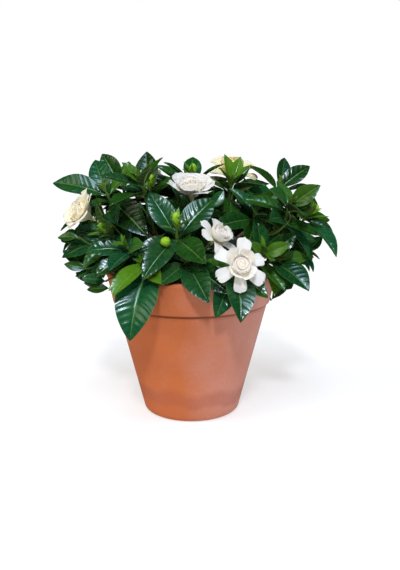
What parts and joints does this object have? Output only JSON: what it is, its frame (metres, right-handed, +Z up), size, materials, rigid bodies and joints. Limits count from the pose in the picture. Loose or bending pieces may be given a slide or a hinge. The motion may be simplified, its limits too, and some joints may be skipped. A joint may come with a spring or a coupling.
{
  "type": "potted gardenia",
  "caption": "Bushy gardenia shrub with glossy leaves, double white and cream blooms and green buds, growing in a tapered clay pot with a plain rim band.",
  "frame": {"origin": "centre of the pot's foot, on the surface that it stands on", "axes": "+Z up; -Y is the front, which the open blooms face; +X is to the right as seen from the front"},
  "size_m": [0.4166, 0.3346, 0.3843],
  "materials": {
    "terracotta": "unglazed fired clay, matt, with slight colour variation",
    "soil": "dark potting soil, crumbly and matt",
    "bark": "thin grey-brown bark, matt",
    "leaf": "leathery dark green leaf, glossy above and duller beneath",
    "bud": "smooth lime-green bud, semi-gloss",
    "white_petal": "soft white petal, matt",
    "cream_petal": "ageing petal turned cream, matt"
  },
  "bodies": {
    "root": {"bloom_back_bloom": "cream_petal", "bloom_left_bloom": "cream_petal", "bloom_middle_bloom": "white_petal", "bloom_rear_bloom": "white_petal", "bloom_rear_low_bloom": "white_petal", "bloom_right_bloom": "white_petal", "bloom_top_bloom": "white_petal", "crown_2_2_bud": "bud", "crown_3_3_bud": "bud", "front_bud": "bud", "left_low_bud": "bud", "pot": "terracotta", "right_far_bud": "bud", "shoot_bloom_back": "leaf", "shoot_bloom_left": "leaf", "shoot_bloom_middle": "leaf", "shoot_bloom_rear": "leaf", "shoot_bloom_rear_low": "leaf", "shoot_bloom_right": "leaf", "shoot_bloom_top": "leaf", "shoot_crown_1_3": "leaf", "shoot_crown_2_2": "leaf", "shoot_crown_3_0": "leaf", "shoot_crown_3_1": "leaf", "shoot_crown_3_2": "leaf", "shoot_crown_3_3": "leaf", "shoot_front": "leaf", "shoot_front_low": "leaf", "shoot_left_back": "leaf", "shoot_left_high": "leaf", "shoot_left_low": "leaf", "shoot_left_middle": "leaf", "shoot_right_back": "leaf", "shoot_right_far": "leaf", "shoot_right_high": "leaf", "shoot_right_low": "leaf", "shoot_right_middle": "leaf", "shoot_rim_left": "leaf", "shoot_rim_right": "leaf", "shoot_top_left": "leaf", "shoot_top_middle": "leaf", "shoot_top_right": "leaf", "soil": "soil", "top_left_bud": "bud", "top_middle_bud": "bud", "woody_stem_0": "bark", "woody_stem_1": "bark", "woody_stem_2": "bark", "woody_stem_3": "bark", "woody_stem_4": "bark", "woody_stem_5": "bark", "woody_stem_6": "bark"}
  },
  "joints": []
}
